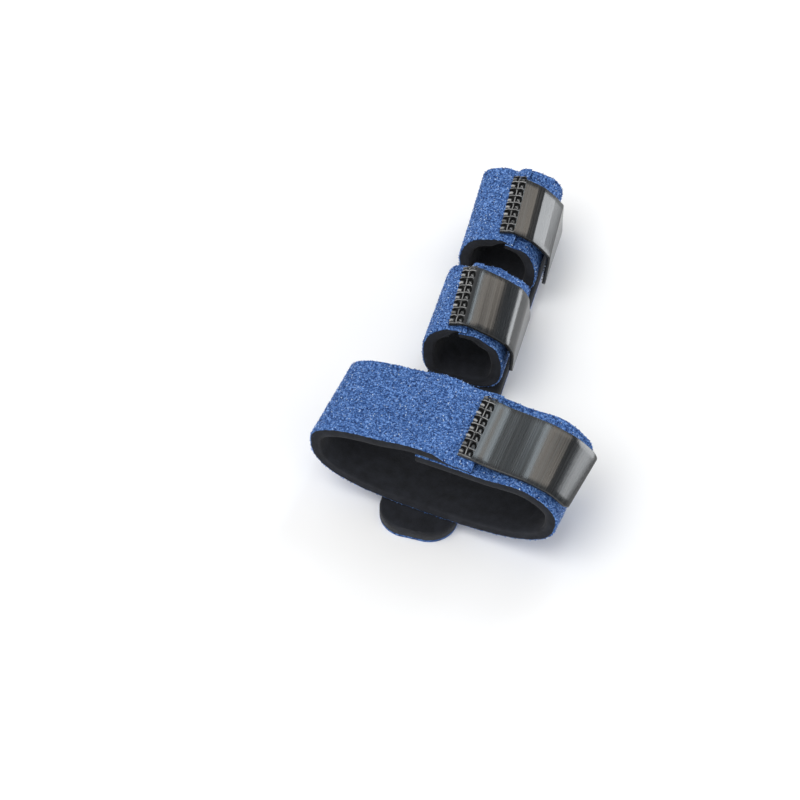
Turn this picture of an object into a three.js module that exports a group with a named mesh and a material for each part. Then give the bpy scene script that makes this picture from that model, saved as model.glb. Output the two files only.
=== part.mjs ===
// Finger splint: a flat padded spine that carries three wrap-round straps, each closed by a hook tab.
// Millimetres. X runs across the splint, Y along its spine towards the distal strap, and Z up. The near rim of
// a strap is the one at lower Y.
import * as THREE from "three";

// Clear space between two pieces that touch on the real object
const GAP = 0.3;

// The padded cloth: black foam inside, looped cloth outside
const FOAM_THICKNESS = 2.5;
const CLOTH_THICKNESS = 1.0;
const LAMINATE = FOAM_THICKNESS + GAP + CLOTH_THICKNESS;

// The spine under the straps
const SPINE_WIDTH = 25;
const SPINE_FOAM_THICKNESS = 3.7;
const SPINE_CORNER_RADIUS = 9;
const SPINE_BEYOND_PALM_STRAP = 7;
const SPINE_BEYOND_DISTAL_STRAP = 5;
const SPINE_TOP = CLOTH_THICKNESS + GAP + SPINE_FOAM_THICKNESS;

// Bare spine between neighbouring straps
const PALM_TO_MIDDLE = 22.3;
const MIDDLE_TO_DISTAL = 12.1;

// The hook tabs, each sewn onto the outer end of its strap
const TAB_WIDTH = 25;
const TAB_THICKNESS = 1.2;
const TAB_CORNER_RADIUS = 2.5;
const SEAM_PRESS = 0.4;
const SEAM_EDGE_RUN = 1;

// Fineness of the bent sheets
const OUTLINE_POINTS = 96;
const STEP_LENGTH = 1.8;
const SHORTEST_STEP = 0.05;
const ROWS_ACROSS = 3;
const CORNER_STEPS = 5;
const SPINE_CORNER_STEPS = 10;

const cloth = new THREE.MeshStandardMaterial({ color: 0x4f6ea5, roughness: 0.95, metalness: 0 });
const foam = new THREE.MeshStandardMaterial({ color: 0x1f2225, roughness: 0.8, metalness: 0 });
const plastic = new THREE.MeshStandardMaterial({ color: 0x2b2d30, roughness: 0.35, metalness: 0 });

// Each strap's loop is an oval with a flatter underside, seen along the spine. Places on the strap are
// measured along its outer face from the top of the loop, positive towards +X, then onward round the loop.
// farDrop: how much lower the loop's top is at the far rim
// ramp: the length over which the outer layer climbs onto the inner end, and the tab settles behind it
// squeeze: how much each layer's foam gives way where the two ends overlap
// sink, sinkRun: how far the inner end lies inside the oval, and the length over which it comes back to it
// slant, endSlant: how far the far corner of the outer end, and of the tab's free end, is ahead of the near one
// tabRiseFrom, tabRiseRun, tabStandOff: where the stiff tab parts from the strap, and how far it stands off
// swells: places where the loop is fuller or tighter than the oval. at and reach are shares of the strap's
// length round the loop, and near and far are the rise at its two rims as shares of the padded cloth.
const STRAPS = {
  palm: {
    width: 31.4,
    halfWidth: 41.1,
    topHalf: 12.65,
    bottomHalf: 17.3,
    topPower: 2.69,
    bottomPower: 2.69,
    offset: 4.6,
    skew: -7.29,
    farDrop: 1.7,
    innerEnd: -5.6,
    outerEnd: 13,
    ramp: 14,
    squeeze: 0.4,
    sink: 1.7,
    sinkRun: 20,
    seam: 5.4,
    slant: -1.8,
    tabEdge: 2.3,
    tabLength: 37,
    endSlant: 2.6,
    tabRiseFrom: 30,
    tabRiseRun: 14,
    tabStandOff: 1.3,
    swells: [{ at: 0.155, reach: 0.06, near: 0.2, far: 0.42 }],
  },
  middle: {
    width: 30.3,
    halfWidth: 13.3,
    topHalf: 13.2,
    bottomHalf: 13.2,
    topPower: 2.2,
    bottomPower: 3.2,
    offset: -0.2,
    skew: 0,
    farDrop: 0,
    innerEnd: -1.5,
    outerEnd: 1.3,
    ramp: 6,
    squeeze: 1.5,
    sink: 0,
    sinkRun: 6,
    seam: 5.7,
    slant: -2.2,
    tabEdge: 0.8,
    tabLength: 29,
    endSlant: 0,
    tabRiseFrom: 2,
    tabRiseRun: 12,
    tabStandOff: 1.6,
    swells: [
      { at: 0.1, reach: 0.07, near: -0.3, far: -0.3 },
      { at: 0.19, reach: 0.07, near: -0.1, far: 0.45 },
    ],
  },
  distal: {
    width: 34.2,
    halfWidth: 13.1,
    topHalf: 12.2,
    bottomHalf: 12.4,
    topPower: 2.2,
    bottomPower: 3.2,
    offset: 0.3,
    skew: 0,
    farDrop: 0,
    innerEnd: 2.6,
    outerEnd: 5.4,
    ramp: 6,
    squeeze: 1.5,
    sink: 0,
    sinkRun: 6,
    seam: 5.4,
    slant: -2.5,
    tabEdge: 2.4,
    tabLength: 28,
    endSlant: 0,
    tabRiseFrom: 5.5,
    tabRiseRun: 9,
    tabStandOff: 2.3,
    swells: [
      { at: -0.18, reach: 0.08, near: -0.1, far: 0.35 },
      { at: -0.04, reach: 0.12, near: -0.12, far: -0.36 },
      { at: 0.17, reach: 0.08, near: -0.1, far: 0.35 },
    ],
  },
};

function easeInOut(t) {
  return THREE.MathUtils.smoothstep(t, 0, 1);
}

// The strap's outer outline as a closed curve that starts at its top and runs towards +X.
function outlineOf(strap) {
  const points = [];
  for (let i = 0; i < OUTLINE_POINTS; i++) {
    const angle = (2 * Math.PI * i) / OUTLINE_POINTS;
    const across = Math.sin(angle);
    const up = Math.cos(angle);
    const half = up >= 0 ? strap.topHalf : strap.bottomHalf;
    const exponent = 2 / (up >= 0 ? strap.topPower : strap.bottomPower);
    const x = strap.halfWidth * Math.sign(across) * Math.abs(across) ** exponent;
    const z = half * Math.sign(up) * Math.abs(up) ** exponent;
    points.push(new THREE.Vector3(x, 0, z));
  }
  return new THREE.CatmullRomCurve3(points, true);
}

// How much fuller the loop is than its oval, at a share of the way round and a share of the way across.
function swellHeight(strap, roundShare, acrossShare) {
  let height = 0;
  for (const { at, reach, near, far } of strap.swells) {
    const away = Math.abs(THREE.MathUtils.euclideanModulo(roundShare - at + 0.5, 1) - 0.5);
    const falloff = 0.5 + 0.5 * Math.cos(Math.PI * Math.min(1, away / reach));
    height += LAMINATE * THREE.MathUtils.lerp(near, far, acrossShare) * falloff;
  }
  return height;
}

// A point of the strap: place along it, distance from its near rim, and height above the oval.
function strapPoint(strap, place, fromRim, height) {
  const roundShare = THREE.MathUtils.euclideanModulo(place / strap.length, 1);
  const acrossShare = fromRim / strap.width;
  const point = strap.outline.getPointAt(roundShare);
  const tangent = strap.outline.getTangentAt(roundShare);
  const outward = height + swellHeight(strap, roundShare, acrossShare);
  const x = point.x - tangent.z * outward;
  const z = point.z + tangent.x * outward;
  const lowered = 1 - (strap.farDrop / (strap.topHalf + strap.bottomHalf)) * acrossShare;
  return [x, fromRim, (z + strap.bottomHalf) * lowered];
}

// Places along a strap that include every break and are no further apart than the step length.
function stationsThrough(breaks) {
  const sorted = [...breaks].sort((a, b) => a - b);
  const stations = [sorted[0]];
  for (const next of sorted.slice(1)) {
    const last = stations[stations.length - 1];
    if (next - last < SHORTEST_STEP) continue;
    const count = Math.ceil((next - last) / STEP_LENGTH);
    for (let k = 1; k <= count; k++) {
      stations.push(last + ((next - last) * k) / count);
    }
  }
  return stations;
}

// A sheet bent round the strap's loop. edges, levels and slide give its two rims, its two faces, and how far
// it is shifted along the strap at the far rim, each at a place.
function bentSheet(strap, stations, { edges, levels, slide }) {
  const steps = stations.length - 1;
  const sheet = new THREE.BoxGeometry(1, 1, 1, steps, ROWS_ACROSS, 1);
  const corner = sheet.attributes.position;
  for (let i = 0; i < corner.count; i++) {
    const place = stations[Math.round((corner.getX(i) + 0.5) * steps)];
    const [nearEdge, farEdge] = edges(place);
    const [underside, topside] = levels(place);
    const fromRim = THREE.MathUtils.lerp(nearEdge, farEdge, corner.getY(i) + 0.5);
    const height = corner.getZ(i) < 0 ? underside : topside;
    const shifted = place + slide(place) * (fromRim / strap.width);
    corner.setXYZ(i, ...strapPoint(strap, shifted, fromRim, height));
  }
  sheet.deleteAttribute("uv");
  sheet.computeVertexNormals();
  return sheet;
}

// From 0 before the outer layer starts to climb onto the inner end, to 1 where it lies on it.
function climbAt(strap, place) {
  return easeInOut((place - strap.length - strap.innerEnd + strap.ramp) / strap.ramp);
}

// How far the inner end lies inside the oval.
function sinkAt(strap, place) {
  return strap.sink * (1 - easeInOut((place - strap.outerEnd) / strap.sinkRun));
}

// How far the strap's outer face lies above the oval.
function faceHeight(strap, place) {
  const squeezed = strap.squeeze * (1 - easeInOut((place - strap.outerEnd) / strap.ramp));
  const intoSeam = place - strap.length - strap.outerEnd + strap.seam;
  const pressed = SEAM_PRESS * easeInOut((intoSeam + SEAM_EDGE_RUN) / SEAM_EDGE_RUN);
  return strap.lift * climbAt(strap, place) - squeezed - sinkAt(strap, place) - pressed;
}

// How far the strap's inner face lies above the oval.
function skinHeight(strap, place) {
  const climb = LAMINATE + GAP - strap.squeeze - strap.sink;
  return climb * climbAt(strap, place) - LAMINATE - sinkAt(strap, place);
}

// The foam and the cloth of one strap, from its inner end once round and over itself to its outer end.
function strapLayers(strap) {
  const secondTurn = strap.length + strap.innerEnd;
  const end = strap.length + strap.outerEnd;
  const stations = stationsThrough([
    strap.innerEnd,
    strap.outerEnd,
    strap.outerEnd + strap.ramp,
    secondTurn - strap.ramp,
    secondTurn,
    end - strap.seam - SEAM_EDGE_RUN,
    end - strap.seam,
    end,
  ]);
  const edges = () => [0, strap.width];
  const slide = (place) => strap.slant * climbAt(strap, place);
  const foamTop = (place) => faceHeight(strap, place) - CLOTH_THICKNESS - GAP;
  const foamLevels = (place) => [skinHeight(strap, place), foamTop(place)];
  const clothLevels = (place) => [faceHeight(strap, place) - CLOTH_THICKNESS, faceHeight(strap, place)];
  return {
    foamLayer: bentSheet(strap, stations, { edges, slide, levels: foamLevels }),
    clothLayer: bentSheet(strap, stations, { edges, slide, levels: clothLevels }),
  };
}

// The height of the hook tab's underside: sewn on the outer end, then down onto the inner layer, then standing off.
function tabUnderside(strap, place) {
  const onOuterEnd = faceHeight(strap, Math.min(place, strap.outerEnd) + strap.length);
  const onInnerLayer = faceHeight(strap, place);
  const settled = easeInOut((place - strap.outerEnd) / strap.ramp);
  const standOff = strap.tabStandOff * easeInOut((place - strap.tabRiseFrom) / strap.tabRiseRun);
  return THREE.MathUtils.lerp(onOuterEnd, onInnerLayer, settled) + GAP + standOff;
}

function hookTab(strap) {
  const start = strap.outerEnd - strap.seam;
  const end = start + strap.tabLength;
  const roundFrom = end - TAB_CORNER_RADIUS;
  const breaks = [start, strap.outerEnd, strap.outerEnd + strap.ramp, strap.tabRiseFrom];
  for (let i = 0; i <= CORNER_STEPS; i++) {
    breaks.push(roundFrom + TAB_CORNER_RADIUS * Math.sin((Math.PI / 2) * (i / CORNER_STEPS)));
  }
  const edges = (place) => {
    const into = Math.max(0, place - roundFrom);
    const inset = TAB_CORNER_RADIUS - Math.sqrt(Math.max(0, TAB_CORNER_RADIUS ** 2 - into ** 2));
    return [strap.tabEdge + inset, strap.tabEdge + TAB_WIDTH - inset];
  };
  const levels = (place) => [tabUnderside(strap, place), tabUnderside(strap, place) + TAB_THICKNESS];
  const slide = (place) => THREE.MathUtils.mapLinear(place, start, end, strap.slant, strap.endSlant);
  const withinTab = breaks.filter((place) => place <= end);
  return bentSheet(strap, stationsThrough(withinTab), { edges, levels, slide });
}

// One layer of the spine: a flat strip with rounded corners.
function spineLayer(from, to, thickness) {
  const half = SPINE_WIDTH / 2;
  const radius = Math.min(SPINE_CORNER_RADIUS, half);
  const outline = new THREE.Shape();
  outline.absarc(half - radius, to - radius, radius, 0, Math.PI / 2);
  outline.absarc(radius - half, to - radius, radius, Math.PI / 2, Math.PI);
  outline.absarc(radius - half, from + radius, radius, Math.PI, 1.5 * Math.PI);
  outline.absarc(half - radius, from + radius, radius, 1.5 * Math.PI, 2 * Math.PI);
  const settings = { depth: thickness, bevelEnabled: false, curveSegments: SPINE_CORNER_STEPS };
  return new THREE.ExtrudeGeometry(outline, settings);
}

function namedMesh(name, geometry, material) {
  const mesh = new THREE.Mesh(geometry, material);
  mesh.name = name;
  return mesh;
}

// One strap with its tab, lying on the spine. Its near rim starts at the group's own origin.
function strapAssembly(name, sizes, startY) {
  const outline = outlineOf(sizes);
  const lift = LAMINATE + GAP - 2 * sizes.squeeze - sizes.sink;
  const strap = { ...sizes, outline, lift, length: outline.getLength() };
  const { foamLayer, clothLayer } = strapLayers(strap);
  const assembly = new THREE.Group();
  assembly.add(namedMesh(name + "_strap_foam", foamLayer, foam));
  assembly.add(namedMesh(name + "_strap_face", clothLayer, cloth));
  assembly.add(namedMesh(name + "_hook_tab", hookTab(strap), plastic));
  assembly.position.set(strap.offset, startY, SPINE_TOP + GAP);
  assembly.rotation.z = THREE.MathUtils.degToRad(strap.skew);
  return assembly;
}

function splint() {
  const object = new THREE.Group();
  const middleStart = STRAPS.palm.width + PALM_TO_MIDDLE;
  const distalStart = middleStart + STRAPS.middle.width + MIDDLE_TO_DISTAL;
  const spineStart = -SPINE_BEYOND_PALM_STRAP;
  const spineEnd = distalStart + STRAPS.distal.width + SPINE_BEYOND_DISTAL_STRAP;

  const spineCover = spineLayer(spineStart, spineEnd, CLOTH_THICKNESS);
  const spineFoam = spineLayer(spineStart, spineEnd, SPINE_FOAM_THICKNESS);
  spineFoam.translate(0, 0, CLOTH_THICKNESS + GAP);
  object.add(namedMesh("spine_cover", spineCover, cloth));
  object.add(namedMesh("spine_foam", spineFoam, foam));

  object.add(strapAssembly("palm", STRAPS.palm, 0));
  object.add(strapAssembly("middle", STRAPS.middle, middleStart));
  object.add(strapAssembly("distal", STRAPS.distal, distalStart));
  return object;
}

// The splint lies on its spine, with the origin under the middle of its box.
const model = splint();
model.updateMatrixWorld(true);
const box = new THREE.Box3().setFromObject(model, true);
const centre = box.getCenter(new THREE.Vector3());
model.position.set(-centre.x, -centre.y, -box.min.z);

const part = new THREE.Group();
part.add(model);
export default part;
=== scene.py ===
"""Looks of the finger splint: padded straps with a loop pile, ribbed hook tabs, their seams and the spine.

Sizes are in millimetres, and every mesh is written in metres in the frame's own axes. A place on a strap is
given by its distance along the strap from the top of the loop, its distance from the near rim, which is the
one at lower Y, and its height above the loop's oval.
"""

import math

import bpy
import numpy as np
from mathutils import Matrix, Vector


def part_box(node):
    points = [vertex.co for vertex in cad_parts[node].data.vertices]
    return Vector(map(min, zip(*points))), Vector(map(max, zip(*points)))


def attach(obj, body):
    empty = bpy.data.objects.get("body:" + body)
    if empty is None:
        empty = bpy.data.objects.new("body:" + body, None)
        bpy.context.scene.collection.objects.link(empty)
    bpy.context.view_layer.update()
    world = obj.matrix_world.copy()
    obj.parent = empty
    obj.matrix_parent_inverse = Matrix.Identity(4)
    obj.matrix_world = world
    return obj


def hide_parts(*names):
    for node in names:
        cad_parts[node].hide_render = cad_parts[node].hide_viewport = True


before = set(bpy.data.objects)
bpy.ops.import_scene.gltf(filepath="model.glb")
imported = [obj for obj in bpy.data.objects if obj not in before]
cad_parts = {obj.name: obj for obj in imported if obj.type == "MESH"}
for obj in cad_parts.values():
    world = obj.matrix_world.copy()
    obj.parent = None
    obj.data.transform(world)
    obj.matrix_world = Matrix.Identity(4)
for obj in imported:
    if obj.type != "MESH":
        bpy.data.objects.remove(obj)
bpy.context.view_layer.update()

MM = 0.001
TINY = 1e-9

# The padded cloth and the spine, as in the part's source
GAP = 0.3
FOAM_THICKNESS = 2.5
CLOTH_THICKNESS = 1.0
LAMINATE = FOAM_THICKNESS + GAP + CLOTH_THICKNESS
SPINE_CORNER_RADIUS = 9.0
SPINE_BEYOND_PALM_STRAP = 7.0
PALM_TO_MIDDLE = 22.3
MIDDLE_TO_DISTAL = 12.1
TAB_WIDTH = 25.0
TAB_THICKNESS = 1.2
SEAM_PRESS = 0.4
SEAM_EDGE_RUN = 1.0

# Each strap's loop and tab, as in the part's source. A few more values shape what only shows here.
# tab_cut: how much shorter the tab is
# near_thinning, far_thinning: from where to where along the strap its outer end thins out towards a rim, and
# by what share
# far_swell: where the first turn's far rim starts to rise beside the tab, where it is highest, where it is
# level again, and its height
# bends: where the stiff tape bends, and its lift there
# bend_rounding: how far to either side a bend is rounded
STRAPS = {
    "palm": dict(
        width=31.4, half_width=41.1, top_half=12.65, bottom_half=17.3, top_power=2.69, bottom_power=2.69,
        offset=4.6, skew=-7.29, far_drop=1.7, inner_end=-5.6, outer_end=13.0, ramp=14.0, squeeze=0.4,
        sink=1.7, sink_run=20.0, seam=5.4, slant=-1.8, tab_edge=2.3, tab_length=37.0, end_slant=2.6,
        tab_rise_from=30.0, tab_rise_run=14.0, tab_stand_off=1.3, tab_cut=2.5,
        swells=[dict(at=0.155, reach=0.06, near=0.2, far=0.42)],
        near_thinning=(-1.0, 6.0, 0.8), far_thinning=(-3.0, 10.0, 0.92), far_swell=(2.0, 11.0, 28.0, 2.2),
        bends=[
            (12.2, -0.3), (16.0, -0.6), (19.5, 0.26), (24.0, 0.58), (29.3, -0.11), (31.0, -0.27),
            (36.7, 0.38), (38.3, 0.22), (40.0, 0.4), (42.1, 1.0),
        ],
        bend_rounding=1.5,
    ),
    "middle": dict(
        width=30.3, half_width=13.3, top_half=13.2, bottom_half=13.2, top_power=2.2, bottom_power=3.2,
        offset=-0.2, skew=0.0, far_drop=0.0, inner_end=-1.5, outer_end=1.3, ramp=6.0, squeeze=1.5,
        sink=0.0, sink_run=6.0, seam=5.7, slant=-2.2, tab_edge=0.8, tab_length=29.0, end_slant=0.0,
        tab_rise_from=2.0, tab_rise_run=12.0, tab_stand_off=1.6, tab_cut=0.0,
        swells=[
            dict(at=0.1, reach=0.07, near=-0.3, far=-0.3),
            dict(at=0.19, reach=0.07, near=-0.1, far=0.45),
        ],
        near_thinning=(-6.0, 0.0, 0.75), far_thinning=(-13.0, -5.0, 0.9), far_swell=(0.0, 1.0, 2.0, 0.0),
        bends=[(0.2, 0.19), (3.0, -0.02), (6.5, -0.17), (9.0, 0.19), (13.8, 0.18), (17.0, 0), (24.6, 0)],
        bend_rounding=1.0,
    ),
    "distal": dict(
        width=34.2, half_width=13.1, top_half=12.2, bottom_half=12.4, top_power=2.2, bottom_power=3.2,
        offset=0.3, skew=0.0, far_drop=0.0, inner_end=2.6, outer_end=5.4, ramp=6.0, squeeze=1.5,
        sink=0.0, sink_run=6.0, seam=5.4, slant=-2.5, tab_edge=2.4, tab_length=28.0, end_slant=0.0,
        tab_rise_from=5.5, tab_rise_run=9.0, tab_stand_off=2.3, tab_cut=0.0,
        swells=[
            dict(at=-0.18, reach=0.08, near=-0.1, far=0.35),
            dict(at=-0.04, reach=0.12, near=-0.12, far=-0.36),
            dict(at=0.17, reach=0.08, near=-0.1, far=0.35),
        ],
        near_thinning=(0.0, 5.0, 0.8), far_thinning=(-7.0, 4.0, 0.96), far_swell=(-2.0, 5.0, 14.0, 1.3),
        bends=[(4.2, 0.37), (8.2, 0.28), (10.2, -0.17), (13.9, -1.11), (17.0, 0), (28.0, 0)],
        bend_rounding=0.2,
    ),
}

# Fineness of the meshes and of the tables behind them
OUTLINE_SAMPLES = 4000
BEND_SAMPLES = 900
CLOTH_STEP = 0.5
FOAM_STEP = 1.2
TAB_STEPS_PER_RIB = 6
TAB_ROWS = 9
TAB_CORNER_STATIONS = 8
SPINE_CORNER_STATIONS = 16
ROUNDING_STEPS = 3
HIDDEN_ROWS = 8
SMOOTHING_PASSES = 2
SMOOTHING_CUT = 0.25
PROBE_STEP = 0.1

# The edges' rounding, and the tab's corners, which are tighter than the source's
CLOTH_EDGE_RADIUS = 0.35
FOAM_EDGE_RADIUS = 0.7
SPINE_EDGE_RADIUS = 1.1
TAB_EDGE_RADIUS = 0.25
TAB_CORNER_RADIUS = 1.6

# The cloth's loop pile
PILE_SEED = 7
PILE_CELL = 0.66
PILE_SPAN = (0.25, 0.6)
PILE_RISE = (0.06, 0.28)
PILE_LEAN = 0.2
PILE_THREAD = (0.09, 0.17)
PILE_SUNK = 0.1
PILE_POINTS = 3
PILE_SIDES = 3
CLOTH_LUMP_CELL = 0.8
CLOTH_LUMP = 0.14
NOISE_CELLS = 257
LEVEL_TOLERANCE = 0.01

# How far in from a rim the thinned end and the raised rim reach
NEAR_THINNING_REACH = 4.2
FAR_THINNING_REACH = 8.0
RISE_REACH = 4.2

# The hook tape: ribs outside, hooks underneath
TAPE_SEED = 19
RIB_PITCH = 0.65
RIB_HEIGHT = 0.004
RIB_KINDS = 256
RIB_STRENGTH = (0.35, 1.0)
RIB_DIP = (-0.5, 0.2)
CUT_POWER = 4
HOOK_PITCH_ALONG = 1.3
HOOK_PITCH_ACROSS = 1.1
HOOK_RISE = 0.55
HOOK_REACH = 0.3
HOOK_THICKNESS = 0.09
HOOK_MARGIN = 0.8
HOOK_ROOT = 0.1
HOOK_CURL = 0.8 * math.pi
HOOK_POINTS = 5
HOOK_SIDES = 3

# The seams: two columns of boxes with a ridge down the middle
SEAM_SEED = 3
SEAM_ROWS = 8
SEAM_PITCH = 3.3
SEAM_WIDTH = 4.1
SEAM_FROM_EDGE = 0.1
SEAM_FROM_RIM = 0.2
SEAM_ABOVE_PILE = 0.7
SEAM_EDGE_BLEND = 0.5
SEAM_WOBBLE = 0.15
# The pale ridges are painted highlights, the pale knots painted glints, the dark stitches partly painted
# shade
PAINTED_HIGHLIGHT_THREAD = 0.17
DARK_THREAD = 0.3
PAINTED_GLINT_KNOT_THREAD = dict(left=0.36, right=0.2)
LOOSE_THREAD = 0.1
PAINTED_HIGHLIGHT_SIDES = 6
DARK_SIDES = 8
LOOSE_SIDES = 5

# One box of a seam: shares of its column from the middle line outwards, shares of a row, and heights
# The rungs and the ridge are laid in pale thread whose grey is a painted highlight
SEAM_RUNG = [(0.0, 0.0, 0.12), (0.35, 0.02, 0.3), (0.7, 0.0, 0.28), (1.0, -0.02, -0.05)]
SEAM_RIDGE = [(0.06, 0.06, 0.0), (0.02, 0.3, 0.24), (-0.02, 0.6, 0.24), (-0.06, 0.9, 0.0)]
# The thick stitch: black thread, darkened further as painted shade
SEAM_DARK = {
    "left": [(1.05, 0.8, -0.05), (0.6, 0.8, 0.22), (0.25, 0.76, 0.2), (0.2, 0.45, 0.1), (0.24, 0.16, -0.15)],
    "right": [(0.22, 0.24, -0.15), (0.24, 0.7, 0.15), (0.6, 0.8, 0.24), (0.95, 0.64, 0.2), (0.96, 0.2, -0.1)],
}
# The knot: pale thread whose grey is a painted glint
SEAM_KNOT = {
    "left": [(1.0, 0.36, -0.1), (0.85, 0.4, 0.12), (0.62, 0.4, 0.12), (0.48, 0.36, -0.1)],
    "right": [(0.76, 0.2, -0.15), (0.66, 0.32, 0.05), (0.56, 0.42, 0.05), (0.48, 0.5, -0.15)],
}

# The seams' loose thread ends: how far they swing, in radians, how far before the last row's end they
# start, as a share of a row, and their arch as shares of their length with heights
LOOSE_ENDS = 9
LOOSE_LENGTH = (1.2, 2.6)
LOOSE_SWING = 0.9
LOOSE_START = 0.4
LOOSE_ARCH = [(0, 0), (0.35, 0.5), (0.7, 0.45), (1, 0.1)]

# The camera, by the photograph's viewing angle. The target is measured from the middle of the spine's end.
CAMERA_AZIMUTH = 16.27
CAMERA_ELEVATION = 51.21
CAMERA_ROLL = 0.30
CAMERA_DISTANCE = 886.6
CAMERA_TARGET = (-17.26, 47.74, 6.45)
CAMERA_LENS = 123.66
SENSOR_WIDTH = 36.0
CAMERA_CLIP = (0.01, 20)

# Colours and tints. The tape's roughness varies between two values, and its streaks stretch along the ribs.
DEEP_BLUE = (0.008, 0.024, 0.105)
BLUE = (0.051, 0.138, 0.38)
LIGHT_BLUE = (0.205, 0.37, 0.75)
# Painted glint: the near-white of a few pile loops
PAINTED_GLINT_BLUE = (0.72, 0.86, 1.0)
BRUSHED_SHADE = (0.82, 0.84, 0.86)
NO_SHADE = (1.0, 1.0, 1.0)
FOAM_DARK = (0.006, 0.007, 0.01)
FOAM_LIGHT = (0.014, 0.016, 0.022)
PORE_SIZE = 0.45
TAPE_DARK = (0.008, 0.009, 0.01)
TAPE = (0.018, 0.019, 0.021)
TAPE_LIGHT = (0.04, 0.042, 0.045)
# Painted reflections: cool and warm tints laid over the tape in broad stripes along its ribs
PAINTED_COOL_REFLECTION = (0.88, 0.98, 1.0)
PAINTED_WARM_REFLECTION = (1.0, 0.95, 0.86)
TAPE_ROUGHNESS = (0.16, 0.24)
RIB_STRETCH = 0.008
FLOOR_GREY = (0.9, 0.9, 0.9)
FLOOR_PALE = (0.93, 0.93, 0.93)

# The studio, in metres and watts: a bright room with one darker side, and panels that the glossy tape mirrors
WORLD_STRENGTH = 0.9
DARK_SIDE = (137, 36)
DARK_SIDE_STOPS = [(0.65, (1.0, 1.0, 1.0)), (0.95, (0.15, 0.16, 0.18))]
FLOOR_REACH = 4.0
LIGHTS = [
    dict(
        name="key", azimuth=-35, elevation=62, distance=1.5,
        size=(1.0, 1.0), power=9, colour=(1, 1, 1),
    ),
    dict(
        name="cool", azimuth=169, elevation=47.5, distance=1.5,
        size=(0.17, 0.6), power=2.1, colour=(0.8, 0.92, 1),
    ),
    dict(
        name="warm", azimuth=156.5, elevation=43, distance=1.5,
        size=(0.23, 0.6), power=1.6, colour=(1, 0.9, 0.78),
    ),
    dict(
        name="side", azimuth=133.8, elevation=11.2, distance=1.1,
        size=(0.44, 0.41), power=4.1, colour=(0.94, 0.97, 1),
    ),
]


def ease(t):
    t = np.clip(t, 0, 1)
    return t * t * (3 - 2 * t)


def lerp(a, b, t):
    return a + (b - a) * t


def node_box(name):
    """A solid's lowest and highest corners in the frame, in millimetres."""
    return [np.array(corner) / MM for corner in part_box(name)]


def add_outline(strap):
    """The loop's oval as a table of length along it, with its points and its tangents."""
    angle = np.linspace(0, 2 * np.pi, OUTLINE_SAMPLES + 1)
    across, up = np.sin(angle), np.cos(angle)
    half = np.where(up >= 0, strap["top_half"], strap["bottom_half"])
    exponent = 2 / np.where(up >= 0, strap["top_power"], strap["bottom_power"])
    x = strap["half_width"] * np.sign(across) * np.abs(across) ** exponent
    z = half * np.sign(up) * np.abs(up) ** exponent
    along = np.concatenate([[0], np.cumsum(np.hypot(np.diff(x), np.diff(z)))])
    slope_x, slope_z = np.gradient(x, along), np.gradient(z, along)
    size = np.hypot(slope_x, slope_z)
    strap["outline"] = dict(along=along, x=x, z=z, tangent_x=slope_x / size, tangent_z=slope_z / size)
    strap["length"] = along[-1]
    strap["lift"] = LAMINATE + GAP - 2 * strap["squeeze"] - strap["sink"]


def swell_height(strap, round_share, across_share):
    """How much fuller the loop is than its oval, at a share of the way round and one of the way across."""
    height = 0
    for swell in strap["swells"]:
        away = np.abs(np.mod(round_share - swell["at"] + 0.5, 1) - 0.5)
        falloff = 0.5 + 0.5 * np.cos(np.pi * np.minimum(1, away / swell["reach"]))
        height = height + LAMINATE * lerp(swell["near"], swell["far"], across_share) * falloff
    return height


def strap_point(strap, place, across, height):
    """Points of a strap in the frame, in millimetres."""
    place, across, height = np.broadcast_arrays(place, across, height)
    table = strap["outline"]
    along = np.mod(place, strap["length"])
    x, z, tangent_x, tangent_z = (
        np.interp(along, table["along"], table[key]) for key in ("x", "z", "tangent_x", "tangent_z")
    )
    across_share = across / strap["width"]
    outward = height + swell_height(strap, along / strap["length"], across_share)
    x = x - tangent_z * outward
    z = z + tangent_x * outward
    lowered = 1 - strap["far_drop"] / (strap["top_half"] + strap["bottom_half"]) * across_share
    z = (z + strap["bottom_half"]) * lowered + strap["base"]
    turn = math.radians(strap["skew"])
    return np.stack(
        [
            math.cos(turn) * x - math.sin(turn) * across + strap["origin"][0],
            math.sin(turn) * x + math.cos(turn) * across + strap["origin"][1],
            z,
        ],
        axis=-1,
    )


def climb_at(strap, place):
    return ease((place - strap["length"] - strap["inner_end"] + strap["ramp"]) / strap["ramp"])


def sink_at(strap, place):
    return strap["sink"] * (1 - ease((place - strap["outer_end"]) / strap["sink_run"]))


def face_height(strap, place):
    """How far the strap's outer face lies above the oval."""
    squeezed = strap["squeeze"] * (1 - ease((place - strap["outer_end"]) / strap["ramp"]))
    into_seam = place - strap["length"] - strap["outer_end"] + strap["seam"]
    pressed = SEAM_PRESS * ease((into_seam + SEAM_EDGE_RUN) / SEAM_EDGE_RUN)
    return strap["lift"] * climb_at(strap, place) - squeezed - sink_at(strap, place) - pressed


def skin_height(strap, place):
    """How far the strap's inner face lies above the oval."""
    climb = LAMINATE + GAP - strap["squeeze"] - strap["sink"]
    return climb * climb_at(strap, place) - LAMINATE - sink_at(strap, place)


def tab_underside(strap, place):
    """How far the tab's underside lies above the oval: on the outer end, then down on the inner layer."""
    on_outer_end = face_height(strap, np.minimum(place, strap["outer_end"]) + strap["length"])
    on_inner_layer = face_height(strap, place)
    settled = ease((place - strap["outer_end"]) / strap["ramp"])
    stand_off = strap["tab_stand_off"] * ease((place - strap["tab_rise_from"]) / strap["tab_rise_run"])
    return lerp(on_outer_end, on_inner_layer, settled) + GAP + stand_off


def tab_span(strap):
    start = strap["outer_end"] - strap["seam"]
    return start, start + strap["tab_length"] - strap["tab_cut"]


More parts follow.
